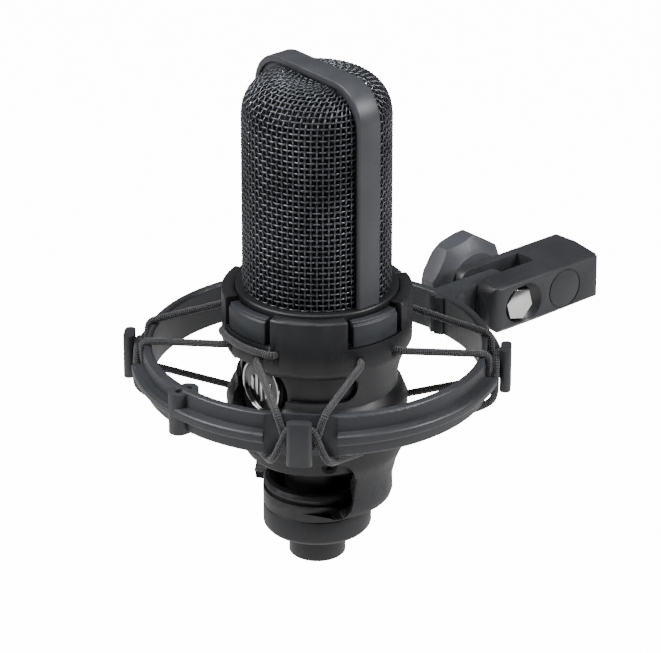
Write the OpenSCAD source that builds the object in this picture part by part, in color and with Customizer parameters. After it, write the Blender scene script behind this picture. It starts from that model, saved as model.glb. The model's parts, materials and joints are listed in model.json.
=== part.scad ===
// Side-address condenser microphone in an elastic shock mount with a slotted swivel clamp.
// Millimetres. +Z is up along the microphone, its front faces -Y and the clamp lies towards +Y.
// The origin is the centre of the output connector's mouth.

/* [Microphone] */
// Overall height of the microphone above the connector's mouth
mic_h = 169; // [150:1:205]
// Diameter of the body at its top ring
body_d = 52; // [44:1:63]
// Diameter of the body at its foot
foot_d = 46; // [40:1:46]
// Height of the body's foot
foot_z = 37.7; // [36.5:0.1:38.5]
// Height of the deck that the grille stands on
deck_z = 95.8; // [94:0.1:98]
// Wall of the body casing
body_wall = 1.8; // [1.2:0.1:2.2]
// Thickness of the top ring and deck
deck_t = 3.8; // [3:0.1:4.6]
// Centre height of the badge
badge_z = 66; // [64:0.5:68]
// Diameter of the badge
badge_d = 18; // [14:0.5:19]

/* [Grille] */
// Step in from the top ring to the outer mesh
mesh_step = 2.15; // [1.5:0.05:3]
// Corner radius over the top of the outer mesh
mesh_corner = 13; // [9:0.5:16]
// Thickness of the outer mesh
mesh_t = 1.2; // [0.8:0.1:1.4]
// Width of the arched rib across the grille
rib_w = 8.4; // [6:0.2:11]
// Height of the rib's cap over the mesh
rib_proud = 1.85; // [1.2:0.05:1.9]
// Depth of the rib's web inside the mesh
web_t = 2.4; // [1.6:0.1:2.6]

/* [Capsule] */
// Diameter of the capsule
capsule_d = 34; // [26:1:36]
// Depth of the capsule's middle ring
capsule_w = 10; // [7:0.5:12]
// Thickness of each clamp ring
clamp_ring_t = 1.6; // [1:0.1:2.2]

/* [Connector] */
// Diameter of the neck under the body
neck_d = 21; // [19.5:0.5:21]
// Diameter of the connector's shell
tail_d = 18.4; // [18:0.1:19]
// Diameter of the connector's socket
socket_d = 16.2; // [15.8:0.1:16.4]
// Diameter of each contact pin
pin_d = 2.4; // [2.2:0.1:2.6]

/* [Cradle] */
// Wall of the cradle's collar
collar_wall = 4; // [3.4:0.1:5]
// Top of the collar
collar_z = 94.7; // [94:0.1:96]
// Diameter of the cup and the locking ring
cup_d = 35; // [33:0.5:36.5]
// Half angle of the front windows
front_half = 79; // [60:1:82]
// Half angle of the rear windows
rear_half = 52; // [35:1:56]
// Half angle of each notch in the collar
notch_half = 21.3; // [18:0.1:24]
// Floor of the notches
notch_z = 85.3; // [84.8:0.1:88]
// Half angle of each grip in its notch
grip_half = 17.4; // [12:0.1:17.5]

/* [Suspension ring] */
// Inside diameter of the ring's wall
ring_d = 105; // [100:1:127]
// Thickness of the wall
ring_wall = 3; // [2.4:0.1:3.4]
// Height of the wall
ring_h = 14; // [12:0.2:16]
// Mid height of the ring
ring_z = 68.3; // [66:0.1:70]
// Reach of the rim beyond the wall
rim_reach = 3.7; // [2.5:0.1:5]
// Thickness of the rim
rim_t = 3.5; // [2.6:0.1:4.5]
// Width of each cord post
post_w = 8; // [6:0.2:10]
// Thickness of each cord post
post_t = 3.5; // [2.6:0.1:4.2]
// Diameter of the elastic cord
cord_d = 2.1; // [1.6:0.1:2.1]

/* [Clamp] */
// Reach of the tilt axis beyond the ring's wall
arm_reach = 22.2; // [20.5:0.1:26]
// Thickness of the arm in the clamp's slot
arm_t = 7; // [5:0.1:8]
// Width of the clamp
clamp_w = 21.2; // [20:0.1:26]
// Length of the clamp behind the tilt axis
clamp_back = 34.1; // [30:0.1:45]
// Diameter of the clamp bolt
bolt_d = 6; // [5:0.5:6.5]
// Diameter of the knob
knob_d = 31.2; // [26:0.1:36]
// Minor diameter of the stand thread
thread_d = 14.9; // [9:0.1:15]
// Depth of the stand thread
thread_len = 14; // [10:0.5:16]

/* [Clearances] */
// Gap between the microphone and the cradle that it slides in
slide_gap = 0.3; // [0.2:0.05:0.4]
// Radial gap of a turning fit
run_gap = 0.05; // [0.03:0.01:0.1]
// Gap around the cord in its holes and slots
cord_gap = 0.2; // [0.1:0.05:0.3]

/* [Hidden] */
$fn = 96;
eps = 0.01;
far = 200;

body_r = body_d / 2;
foot_r = foot_d / 2;
ring_step_z = deck_z - deck_t;
waist_z = 71;
waist_r = foot_r + 0.533 * (body_r - foot_r);
edge = 0.7;
mesh_r = body_r - mesh_step;
mesh_top = mic_h - 2.5;
rib_out = mesh_r + rib_proud;
inner_r = mesh_r - web_t - 0.2;
inner_top = mesh_top - web_t - 2;
inner_t = 0.5;
capsule_z = deck_z + 0.52 * (mic_h - deck_z);
capsule_r = capsule_d / 2;
bore_r = capsule_r - 3.5;

recess_r = badge_d / 2 + 2.4;
recess_wall = 1.5;
window_top = 74.5;
badge_face = sqrt(pow(body_wall_r(window_top) + slide_gap / 2, 2) - pow(badge_d / 2, 2));
badge_floor = body_wall_r(badge_z) - 4.5;
badge_seat = badge_face - 1.9;
screw_z = foot_z + 3.9;
screw_face = body_wall_r(screw_z) - 0.25;
flange_h = 5.5;
flange_z = foot_z + 0.3;
flange_r = foot_r - body_wall - 0.05;
neck_r = neck_d / 2;
tail_r = tail_d / 2;
shoulder_z = 13;
socket_depth = 17;
pin_circle = 3.53;
switch_z = 64;
switch_gap = 9;
plate_y = body_wall_r(switch_z) - 8.6;
plate_h = 8;
plate_gap = 0.2;
plate_half = sqrt(pow(body_wall_r(switch_z - plate_h / 2) - body_wall, 2) - pow(plate_y + 1, 2))
    - plate_gap;
lead_y = capsule_w / 2 + clamp_ring_t + 0.75;
travel = 3;

cup_r = cup_d / 2;
seam_z = 18.7;
ring_base_z = 10;
cup_top = 28;
cup_in = neck_r + 2.9;
seat_t = 1.2;
cup_floor = 1.2;
seat_z = seam_z + cup_floor + seat_t;
collar_in = body_r + slide_gap;
collar_r = collar_in + collar_wall;
loop_z = 80.5;
bridge_z = 83;
slot_z = 49;
loop_half = 13.4;
slot_half = 12.3;
bridge_half = 25;
hoop_r = collar_r - 1.2;
hoop_top = 57;
hoop_gap = 1.2;
hoop_in = body_wall_r(hoop_top) + hoop_gap;
cord_r = cord_d / 2;
cord_hole = cord_r + cord_gap;
bend_reach = 1.2;
loop_in_r = collar_in + cord_r + 0.35;
slot_in_r = hoop_in + cord_r - 0.1;

wall_in = ring_d / 2;
wall_out = wall_in + ring_wall;
wall_top = ring_z + ring_h / 2;
wall_low = ring_z - ring_h / 2;
rim_out = wall_out + rim_reach;
pivot_y = wall_out + arm_reach;
slot_r = wall_out - 1.5;
cord_lane = cord_d + 0.1;
lane_in = slot_r + cord_r + 0.05;
lane_out = lane_in + cord_lane;
post_in = lane_out + cord_r + 0.05;
post_out = post_in + post_t;
post_h = 14.5;
neck_half = 2.6;
neck_h = 5.1;
notch_reach = 11.5;

arm_x = -1.9;
slot_w = arm_t + 0.8;
washer_t = 0.35;
clamp_half = clamp_w / 2;
clamp_low = ring_z - 8.6;
clamp_top = ring_z + 9.3;
clamp_shoulder = clamp_top - 1.8;
clamp_nose = pivot_y - 11.7;
clamp_end = pivot_y + clamp_back;
slot_back = pivot_y + 13.3;
bolt_r = bolt_d / 2;
hex_af = 10;
hex_h = 4;
recess_depth = 4.2;
knob_r = knob_d / 2;
knob_gap = 0.1;
knob_w = 10.4;
knob_washer_t = 1;

dark = "#2d2e30";
satin = "#4b4d51";
grey = "#46474b";
steel = "#c9cbce";
brass = "#b08d4c";

// Radius of the body's casing at a height: two straight tapers that meet at the waist.
function body_wall_r(z) = z < waist_z
    ? foot_r + (waist_r - foot_r) * (z - foot_z) / (waist_z - foot_z)
    : waist_r + (body_r - waist_r) * (z - waist_z) / (ring_step_z - waist_z);

// A point given by radius, angle and height, and one in a post's own radial and sideways directions.
function polar(r, a, z) = [r * cos(a), r * sin(a), z];
function at_post(a, r, t, z) = [r * cos(a) - t * sin(a), r * sin(a) + t * cos(a), z];

module tube(r_out, r_in, z0, z1) {
    difference() {
        translate([0, 0, z0]) cylinder(r = r_out, h = z1 - z0);
        translate([0, 0, z0 - 1]) cylinder(r = r_in, h = z1 - z0 + 2);
    }
}

// A cylinder along -Y from y0 (nearer the middle) out to y1, centred on x and z.
module front_rod(r, y0, y1, x, z) {
    translate([x, -y0, z]) rotate([90, 0, 0]) cylinder(r = r, h = y1 - y0);
}

// A cylinder along X between two places.
module cross_rod(r, x0, x1, y, z) {
    translate([x0, y, z]) rotate([0, 90, 0]) cylinder(r = r, h = x1 - x0);
}

module rod_between(p, q, r) {
    d = q - p;
    length = norm(d);
    translate(p) rotate([0, acos(d[2] / length), atan2(d[1], d[0])]) cylinder(r = r, h = length);
}

// A cord's route: each inner point is rounded off by three points on a curve of this reach.
function unit(v) = v / norm(v);
function toward(p, q) = p + unit(q - p) * min(bend_reach, norm(q - p) / 2);
function rounded(p) = [p[0],
    for (i = [1 : len(p) - 2]) let (a = toward(p[i], p[i - 1]), b = toward(p[i], p[i + 1]))
        each [a, (a + 2 * p[i] + b) / 4, b],
    p[len(p) - 1]];

// Directions along the route, and a side direction carried along it without twist.
function along(p) = [for (i = [0 : len(p) - 1]) unit(p[min(i + 1, len(p) - 1)] - p[max(i - 1, 0)])];
function carried(t, i) = let (n = i == 0 ? [0, 0, 1] : carried(t, i - 1)) unit(n - (n * t[i]) * t[i]);

// A cord swept along a route as one closed tube.
module cord_through(points) {
    route = rounded(points);
    t = along(route);
    sides = 8;
    rings = len(route);
    skin = [for (i = [0 : rings - 1]) let (n = carried(t, i), m = cross(t[i], n))
        for (k = [0 : sides - 1]) route[i] + cord_r * (n * cos(360 * k / sides) + m * sin(360 * k / sides))];
    walls = [for (i = [0 : rings - 2]) for (k = [0 : sides - 1])
        let (a = i * sides + k, b = i * sides + (k + 1) % sides)
        each [[a, a + sides, b], [b, a + sides, b + sides]]];
    cap_a = [for (k = [0 : sides - 1]) k];
    cap_b = [for (k = [sides - 1 : -1 : 0]) (rings - 1) * sides + k];
    polyhedron(points = skin, faces = concat(walls, [cap_a, cap_b]));
}

// A rounded rectangle with its lower left corner at the origin.
module soft_rect(w, h, r) {
    translate([r, 0]) square([w - 2 * r, h]);
    translate([0, r]) square([w, h - 2 * r]);
    for (x = [r, w - r]) {
        for (y = [r, h - r]) {
            translate([x, y]) circle(r = r, $fn = 32);
        }
    }
}

// Half section of a flat-topped dome.
module dome_half(r, z0, top, corner) {
    translate([0, z0]) square([r, top - corner - z0]);
    translate([0, z0]) square([r - corner, top - z0]);
    intersection() {
        translate([r - corner, top - corner]) circle(r = corner);
        translate([0, z0]) square([r, top - z0]);
    }
}

module dome_shell(r, top, corner, t) {
    difference() {
        rotate_extrude() dome_half(r, deck_z, top, corner);
        rotate_extrude() dome_half(r - t, deck_z - 1, top - t, corner - t);
    }
}

// Outline of the arch that the rib follows, seen from the front.
module arch(half, top, corner) {
    translate([-half, deck_z]) square([2 * half, top - corner - deck_z]);
    translate([-half + corner, deck_z]) square([2 * (half - corner), top - deck_z]);
    for (s = [-1, 1]) {
        translate([s * (half - corner), top - corner]) circle(r = corner);
    }
}

// A wedge about the Z axis between two heights, from the axis out.
module wedge(mid, half, z0, z1) {
    translate([0, 0, z0]) linear_extrude(z1 - z0) polygon(concat([[0, 0]],
        [for (i = [-2 : 2]) [far * cos(mid + half * i / 2), far * sin(mid + half * i / 2)]]));
}

// A window cut outwards from the axis, with corners of one radius.
module window(mid, half, z0, z1, corner, at_r) {
    inset = corner / at_r * 180 / PI;
    wedge(mid, half, z0 + corner, z1 - corner);
    wedge(mid, half - inset, z0, z1);
    for (s = [-1, 1]) {
        for (z = [z0 + corner, z1 - corner]) {
            rotate([0, 0, mid + s * (half - inset)]) translate([0, 0, z]) rotate([0, 90, 0])
                cylinder(r = corner + 0.03, h = far, $fn = 48);
        }
    }
}

// Microphone casing

module body_shell() color(dark) {
    difference() {
        union() {
            rotate_extrude() polygon([[foot_r - edge, foot_z], [foot_r, foot_z + edge],
                [waist_r, waist_z], [body_r, ring_step_z], [body_r - body_wall, ring_step_z],
                [waist_r - body_wall, waist_z], [foot_r - body_wall, foot_z + edge],
                [foot_r - body_wall, foot_z]]);
            intersection() {
                front_rod(recess_r + recess_wall, badge_floor - 1, far, 0, badge_z);
                rotate_extrude() polygon([[0, foot_z + edge], [foot_r, foot_z + edge],
                    [waist_r, waist_z], [body_r, ring_step_z], [0, ring_step_z]]);
            }
        }
        difference() {
            front_rod(recess_r, badge_floor, far, 0, badge_z);
            front_rod(badge_d / 2, 0, badge_seat, 0, badge_z);
        }
        for (a = [-150, -30, 90]) {
            rotate([0, 0, a]) cross_rod(2.5, screw_face - 0.9, far, 0, screw_z);
            rotate([0, 0, a]) cross_rod(1.5, foot_r - 4, far, 0, screw_z);
        }
        for (s = [-1, 1]) {
            translate([s * switch_gap - 3.5, plate_y + 1, switch_z - 1.5]) cube([7, far, 3]);
        }
    }
}

module top_ring() color(dark) {
    rotate_extrude() polygon([[mesh_r - mesh_t - 0.8, ring_step_z], [body_r, ring_step_z],
        [body_r, deck_z - 0.5], [body_r - 0.5, deck_z], [mesh_r - mesh_t - 0.8, deck_z]]);
}

module top_deck() color(dark) {
    difference() {
        translate([0, 0, ring_step_z]) cylinder(r = mesh_r - mesh_t - 0.85, h = deck_t - 0.4);
        for (s = [-1, 1]) {
            translate([s * 9, lead_y, ring_step_z - 1]) cylinder(r = 1.5, h = deck_t + 2);
            translate([s * (inner_r - 4), 0, ring_step_z - 1]) cylinder(r = 1.3, h = deck_t + 2);
        }
        translate([0, 0, ring_step_z - 1]) cylinder(r = 2, h = deck_t + 2);
    }
}

module deck_screws() color(steel) {
    for (s = [-1, 1]) {
        translate([s * (inner_r - 4), 0, deck_z - 0.4]) cylinder(r = 2.4, h = 1.5);
        translate([s * (inner_r - 4), 0, ring_step_z - 2]) cylinder(r = 1.3, h = deck_t + 1.6);
    }
}

module base_neck() color(dark) {
    difference() {
        rotate_extrude() polygon([[0, shoulder_z], [neck_r - 0.6, shoulder_z],
            [neck_r, shoulder_z + 0.6], [neck_r, seat_z],
            [cup_in - 0.6, seat_z], [cup_in - 0.6, seat_z + 2.4], [neck_r, seat_z + 3.4],
            [neck_r, flange_z], [flange_r, flange_z], [flange_r, flange_z + flange_h],
            [0, flange_z + flange_h]]);
        translate([0, 0, -1]) cylinder(r = socket_d / 2, h = socket_depth + 1);
        cylinder(r = 6, h = far);
        for (a = [-150, -30, 90]) {
            rotate([0, 0, a]) cross_rod(1.5, flange_r - 5, far, 0, screw_z);
        }
    }
}

// The connector's shell, a sleeve under the neck.
module output_shell() color(dark) {
    difference() {
        rotate_extrude() polygon([[socket_d / 2, 0], [tail_r - 0.5, 0], [tail_r, 0.5],
            [tail_r, shoulder_z], [socket_d / 2, shoulder_z]]);
        translate([0, 0, -1]) cylinder(r = socket_d / 2, h = 1);
    }
}

module base_screws() color(dark) {
    for (a = [-150, -30, 90]) {
        rotate([0, 0, a]) difference() {
            union() {
                cross_rod(2.4, screw_face - 0.9, screw_face, 0, screw_z);
                cross_rod(1.45, flange_r - 4.5, screw_face - 0.5, 0, screw_z);
            }
            for (turn = [45, 135]) {
                translate([screw_face - 0.6, 0, screw_z]) rotate([turn, 0, 0])
                    translate([0, -1.5, -0.3]) cube([2, 3, 0.6]);
            }
        }
    }
}

module xlr_insert() color("#1c1c1d") {
    difference() {
        translate([0, 0, socket_depth - 4]) cylinder(r = socket_d / 2, h = 4);
        for (a = [0, 180, 270]) {
            translate(polar(pin_circle, a, 0)) cylinder(r = pin_d / 2, h = far);
        }
        translate([0, 5.6, 0]) cylinder(r = 1, h = far);
    }
}

module xlr_pins() color(steel) {
    for (a = [0, 180, 270]) {
        translate(polar(pin_circle, a, 2.5)) cylinder(r = pin_d / 2, h = socket_depth + 0.5);
        translate(polar(pin_circle, a, 2.5)) sphere(r = pin_d / 2 * 0.98, $fn = 32);
    }
}

// Badge

module badge_ring() color(steel) {
    difference() {
        front_rod(badge_d / 2, badge_seat, badge_face, 0, badge_z);
        front_rod(badge_d / 2 - 0.7, badge_seat - 1, far, 0, badge_z);
    }
}

module badge_disc() color("#101011") {
    front_rod(badge_d / 2 - 0.7, badge_seat, badge_face - 0.5, 0, badge_z);
}

// Five upright bars of stepped height, like a sound-level sign.
module badge_bars() color(steel) {
    for (i = [-2 : 2]) {
        bar = badge_d * (0.56 - 0.15 * abs(i));
        translate([i * badge_d * 0.12 - 0.5, -badge_face + 0.2, badge_z - bar / 2]) cube([1, 0.3, bar]);
    }
}

// Switches at the back of the body

module switch_plate() color("#1c1c1d") {
    difference() {
        translate([-plate_half, plate_y, switch_z - plate_h / 2]) cube([2 * plate_half, 1, plate_h]);
        for (s = [-1, 1]) {
            translate([s * switch_gap - 1.8, 0, switch_z - 1]) cube([2 + travel, far, 2]);
        }
    }
}

// A slider whose thumb pad shows in the body's slot and whose stem runs through the plate.
module slider(x) color(satin) {
    face = sqrt(pow(body_wall_r(switch_z), 2) - pow(switch_gap + travel, 2));
    translate([x - 1.9, plate_y + 1.1, switch_z - 1.3]) cube([2.2, face - plate_y - 1.3, 2.6]);
    translate([x - 1.4, plate_y - 1.5, switch_z - 0.8]) cube([1.2, 3, 1.6]);
    translate([x - 2.4, plate_y - 2.3, switch_z - 2]) cube([3.2, 1, 4]);
}

module low_cut_switch() slider(-switch_gap);

module pad_switch() slider(switch_gap);

// Grille

module grille_frame() color(satin) {
    corner = mesh_corner - 1;
    difference() {
        union() {
            translate([0, rib_w / 2, 0]) rotate([90, 0, 0]) linear_extrude(rib_w)
                arch(rib_out, mic_h, corner);
            translate([0, rib_w / 2 - 1, 0]) rotate([90, 0, 0]) linear_extrude(rib_w - 2)
                arch(mesh_r, mesh_top, corner - rib_proud);
        }
        translate([0, rib_w, 0]) rotate([90, 0, 0]) linear_extrude(2 * rib_w)
            translate([0, -1]) arch(mesh_r - web_t, mesh_top - web_t + 1, corner - rib_proud - web_t);
        for (s = [-1, 1]) {
            translate([0, s * (rib_w / 2 - 0.5), 0]) rotate([90, 0, 0])
                translate([0, 0, -0.5 - eps]) linear_extrude(1 + 2 * eps)
                translate([0, -1]) arch(mesh_r + 0.05, mesh_top + 1.1, corner - rib_proud);
        }
    }
}

module mesh_half(side) color("#232425") {
    intersection() {
        dome_shell(mesh_r, mesh_top, mesh_corner, mesh_t);
        translate([-far / 2, side > 0 ? rib_w / 2 - 1 : -far, 0]) cube([far, far - rib_w / 2 + 1, far]);
    }
}

module outer_mesh_front() mesh_half(-1);

module outer_mesh_rear() mesh_half(1);

module inner_mesh() color("#151516") {
    dome_shell(inner_r, inner_top, mesh_corner - web_t, inner_t);
}

// Capsule, facing front and back

module capsule_body() color(brass) {
    difference() {
        front_rod(capsule_r, -capsule_w / 2, capsule_w / 2, 0, capsule_z);
        front_rod(bore_r, -far, far, 0, capsule_z);
        translate([0, 0, capsule_z - capsule_r - 1]) cylinder(r = 1.6, h = 4);
    }
}

module backplate() color(steel) {
    difference() {
        front_rod(bore_r, -capsule_w / 2 + 0.3, capsule_w / 2 - 0.3, 0, capsule_z);
        for (ring = [1 : 2]) {
            for (i = [0 : 5 * ring]) {
                a = i * 360 / (5 * ring + 1);
                front_rod(0.9, -far, far, 4.2 * ring * cos(a), capsule_z + 4.2 * ring * sin(a));
            }
        }
    }
}

module diaphragms() color("#d8b45c") {
    for (s = [-1, 1]) {
        translate([0, s * (capsule_w / 2 + 0.1), 0]) front_rod(capsule_r, -0.1, 0.1, 0, capsule_z);
    }
}

module clamp_rings() color(steel) {
    mid = capsule_w / 2 + 0.2 + clamp_ring_t / 2;
    for (s = [-1, 1]) {
        translate([0, s * mid, 0]) difference() {
            front_rod(capsule_r, -clamp_ring_t / 2, clamp_ring_t / 2, 0, capsule_z);
            front_rod(bore_r, -far, far, 0, capsule_z);
        }
    }
}

module capsule_screws() color(steel) {
    face = capsule_w / 2 + 0.2 + clamp_ring_t;
    for (i = [0 : 7]) {
        a = 22.5 + 45 * i;
        x = (capsule_r - 1.75) * cos(a);
        z = capsule_z + (capsule_r - 1.75) * sin(a);
        for (y = [-face - 0.6, face]) {
            front_rod(1, y, y + 0.6, x, z);
        }
    }
}

module capsule_saddle() color(dark) {
    foot = deck_z + 3;
    difference() {
        union() {
            translate([0, 0, foot]) cylinder(r = 9, h = 2);
            translate([-4, -3, foot]) cube([8, 6, capsule_z - capsule_r - foot + 1.2]);
            translate([-9, -3, capsule_z - capsule_r - 2.2]) cube([18, 6, 5]);
        }
        front_rod(capsule_r + 0.02, -far, far, 0, capsule_z);
    }
}

module isolator() color("#222222") {
    tube(7.5, 2, deck_z - 0.4, deck_z + 3);
}

// Electronics in the body

module circuit_board() color("#2c6b45") {
    difference() {
        translate([-17, 2, foot_z + 10]) cube([34, 1.6, ring_step_z - foot_z - 16]);
        for (s = [-1, 1]) {
            translate([s * 14, 0, ring_step_z - 10]) rotate([-90, 0, 0]) cylinder(r = 1.2, h = 6);
        }
    }
}

module board_brackets() color(steel) {
    for (s = [-1, 1]) {
        translate([s * 14 - 2.5, 3.6, ring_step_z - 13]) cube([5, 1.2, 13]);
        translate([s * 14 - 2.5, 3.6, ring_step_z - 1.2]) cube([5, 6, 1.2]);
    }
}

module transformer() color("#8a8d92") {
    translate([0, 2, foot_z + 24]) rotate([90, 0, 0]) cylinder(r = 9.5, h = 10);
    translate([-2, -10, foot_z + 33]) cube([4, 8, 2.5]);
}

module capacitors() color("#a33b2a") {
    for (i = [0 : 3]) {
        translate([-13 + 8.6 * i, 2, ring_step_z - 17]) rotate([90, 0, 0]) cylinder(r = 3, h = 9);
    }
}

module transistors() color("#1c1c1d") {
    for (i = [0 : 2]) {
        translate([-9 + 8 * i, 3.6, foot_z + 20]) cube([4.5, 3.5, 4.5]);
    }
}

// Leads from the capsule down through the deck, and from the board to the connector's pins.
module capsule_leads() color("#b5352b") {
    for (s = [-1, 1]) {
        rod_between([s * 9, lead_y, capsule_z - capsule_r + 6], [s * 9, lead_y, ring_step_z - 5.9], 0.5);
    }
}

module output_leads() color("#c9cbce") {
    for (a = [0, 180, 270]) {
        rod_between(polar(pin_circle, a, socket_depth + 3), [pin_circle * cos(a), 1.4, foot_z + 10.8], 0.5);
    }
}

// Cradle

module cradle_profile() {
    polygon([[neck_r + 0.3, seam_z - 3], [neck_r + 3.9, seam_z - 3], [neck_r + 3.9, seam_z],
        [cup_r, seam_z], [cup_r, seam_z + 3], [foot_r - 1, seam_z + 3], [foot_r + 0.9, seam_z + 4],
        [foot_r + 1.6, seam_z + 6.3], [foot_r + 1.7, 31], [foot_r + 2.9, 36], [foot_r + 5.1, 41],
        [foot_r + 5.3, 45], [hoop_r - 0.3, 53], [hoop_r, 56.5], [hoop_r - 1.5, 60.4],
        [waist_r + 1.2, 62.5], [waist_r + 1.3, 66], [body_r + 1, 71], [collar_r - 1.8, 74.5],
        [collar_r, 77.7], [collar_r, collar_z - 0.5], [collar_r - 0.5, collar_z],
        [collar_in, collar_z], [collar_in, ring_step_z], [waist_r + slide_gap, waist_z],
        [body_wall_r(61) + slide_gap, 61], [hoop_in, hoop_top], [hoop_in, 41], [foot_r - 0.9, 34.5],
        [foot_r - 0.9, seam_z + 7], [foot_r - 2.4, seam_z + 5.5], [cup_r - 1, seam_z + 5.5],
        [cup_r, seam_z + 7.6], [cup_r - 0.7, cup_top - 0.4], [cup_r - 2, cup_top],
        [cup_in + 0.9, cup_top - 0.4], [cup_in, cup_top - 1.8], [cup_in, seam_z + cup_floor],
        [neck_r + 0.3, seam_z + cup_floor]]);
}

module cord_holes(r0, z, half) {
    for (axis = [0 : 90 : 270]) {
        for (s = [-1, 1]) {
            rotate([0, 0, axis + s * half]) cross_rod(cord_hole, r0, far, 0, z);
        }
    }
}

module cradle() color(dark) {
    difference() {
        rotate_extrude() cradle_profile();
        difference() {
            union() {
                window(-90, front_half, 65, window_top, 4.5, body_r);
                window(90, rear_half, 65, window_top, 4.5, body_r);
                window(-90, front_half, seam_z + 3, 44.5, 7, foot_r);
                window(90, rear_half, seam_z + 3, 44.5, 7, foot_r);
            }
            translate([0, 0, seam_z]) cylinder(r = cup_r + 0.05, h = cup_top - seam_z + 0.6);
        }
        front_rod(badge_d / 2 + 3, foot_r - 3, far, 0, badge_z - 1);
        for (axis = [0 : 90 : 270]) {
            wedge(axis, notch_half, notch_z, collar_z + 1);
        }
        tube(loop_in_r + cord_hole, collar_in - 2, loop_z - cord_hole, loop_z + cord_hole);
        tube(slot_in_r + cord_hole, hoop_in - 1, slot_z - cord_hole, slot_z + cord_hole);
        cord_holes(loop_in_r, loop_z, loop_half);
        cord_holes(slot_in_r, slot_z, slot_half);
        for (s = [-1, 1]) {
            rotate([0, 0, -90 + s * bridge_half]) cross_rod(cord_hole, collar_in, far, 0, bridge_z);
        }
    }
}

module collar_grips() color(satin) {
    intersection() {
        rotate_extrude() polygon([[collar_in + 0.4, notch_z], [collar_r - 0.3, notch_z],
            [collar_r - 0.3, collar_z - 1.9], [collar_r - 0.9, collar_z - 1.7],
            [collar_r - 0.9, collar_z - 0.7], [collar_in + 0.4, collar_z - 0.7]]);
        union() {
            for (axis = [0 : 90 : 270]) {
                wedge(axis, grip_half, notch_z, collar_z);
            }
        }
    }
}

module seat_washer() color("#1a1a1a") {
    tube(cup_in - 0.3, neck_r + 0.3, seam_z + cup_floor, seat_z);
}

module locking_ring() color(dark) {
    rotate_extrude() polygon([[tail_r + run_gap, ring_base_z], [cup_r - 1.2, ring_base_z],
        [cup_r, ring_base_z + 1.4], [cup_r, seam_z - 0.2], [neck_r + 4.2, seam_z - 0.2],
        [neck_r + 4.2, seam_z - 3.3], [neck_r + 0.3, seam_z - 3.3], [neck_r + 0.3, shoulder_z - 0.2],
        [tail_r + run_gap, shoulder_z - 0.2]]);
}

// Suspension ring with its posts, boss and arm

module post(a) {
    rotate([0, 0, a]) {
        for (s = [-1, 1]) {
            translate([(post_in + post_out) / 2, s * (post_w - post_t) / 2, ring_z - post_h / 2])
                cylinder(r = post_t / 2, h = post_h);
        }
        translate([post_in, -(post_w - post_t) / 2, ring_z - post_h / 2])
            cube([post_t, post_w - post_t, post_h]);
        translate([slot_r - 0.6, -neck_half, ring_z - neck_h / 2])
            cube([post_in - slot_r + 1.5, 2 * neck_half, neck_h]);
    }
}

module ring_arm() {
    arm_half = arm_t / 2;
    translate([arm_x - arm_half, wall_out - 2, ring_z - ring_h / 2])
        cube([arm_t, pivot_y - wall_out + 2, ring_h]);
    cross_rod(ring_h / 2, arm_x - arm_half, arm_x + arm_half, pivot_y, ring_z);
    for (s = [-1, 1]) {
        translate([arm_x, wall_out - 1, ring_z]) rotate([0, 0, s * 32])
            translate([-1.5, -4, -ring_h / 2 + 0.5]) cube([3, 11, ring_h - 1]);
    }
}

module suspension_ring() color(grey) {
    boss_r = 3.2;
    difference() {
        union() {
            difference() {
                rotate_extrude() {
                    translate([wall_in, wall_low]) soft_rect(ring_wall, ring_h, 0.9);
                    translate([wall_in + 1, ring_z - rim_t / 2])
                        soft_rect(ring_wall + rim_reach - 1, rim_t, 1.2);
                }
                for (a = [45 : 90 : 315]) {
                    rotate([0, 0, a]) translate([slot_r, -notch_reach, 0])
                        cube([far, 2 * notch_reach, far]);
                }
            }
            for (a = [45 : 90 : 315]) {
                post(a);
            }
            ring_arm();
            for (y = [-wall_in + 0.5, -wall_out - 0.6]) {
                translate([0, y, ring_z - 7.6]) cylinder(r = boss_r, h = 14);
            }
            translate([-boss_r, -wall_out - 0.6, ring_z - 7.6]) cube([2 * boss_r, ring_wall + 1.1, 14]);
        }
        for (y = [-wall_in + 0.5, -wall_out - 0.6]) {
            translate([0, y, 0]) cylinder(r = 1.2, h = far);
        }
        cross_rod(bolt_r + run_gap, -far, far, pivot_y, ring_z);
    }
}

// Elastic cords: each is one closed loop through the cradle and round the four posts.
// A turn runs from the middle of one inside stretch to the middle of the next.

function turn(a, in_r, half, out_r, z, round_post) = concat(
    [polar(in_r * cos(half), a - 45 - 0.2, z), polar(in_r, a - 45 + half, z),
        polar(out_r + cord_r + 0.7, a - 45 + half, z)],
    [for (side = [-1, 1])
        for (p = side < 0 ? round_post : [for (i = [len(round_post) - 1 : -1 : 0]) round_post[i]])
        at_post(a, p[0], side * p[1], p[2])],
    [polar(out_r + cord_r + 0.7, a + 45 - half, z), polar(in_r, a + 45 - half, z),
        polar(in_r * cos(half), a + 45 + 0.2, z)]);

module upper_elastic() color("#2a2b2d") {
    over = [[wall_in - 0.4, 8.4, wall_top + cord_r + 0.25], [lane_in - 0.1, 7.6, wall_top + cord_r - 0.3],
        [lane_in, 3.9, ring_z - 4.2]];
    for (a = [45 : 90 : 315]) {
        cord_through(turn(a, loop_in_r, loop_half, collar_r, loop_z, over));
    }
}

module lower_elastic() color("#2a2b2d") {
    under = [[wall_out, 9.4, wall_low - cord_r - 0.4], [lane_out, 7.9, wall_low + 0.5],
        [lane_out, 3.7, ring_z + 4.2]];
    for (a = [45 : 90 : 315]) {
        cord_through(turn(a, slot_in_r, slot_half, hoop_r, slot_z, under));
    }
}

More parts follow.
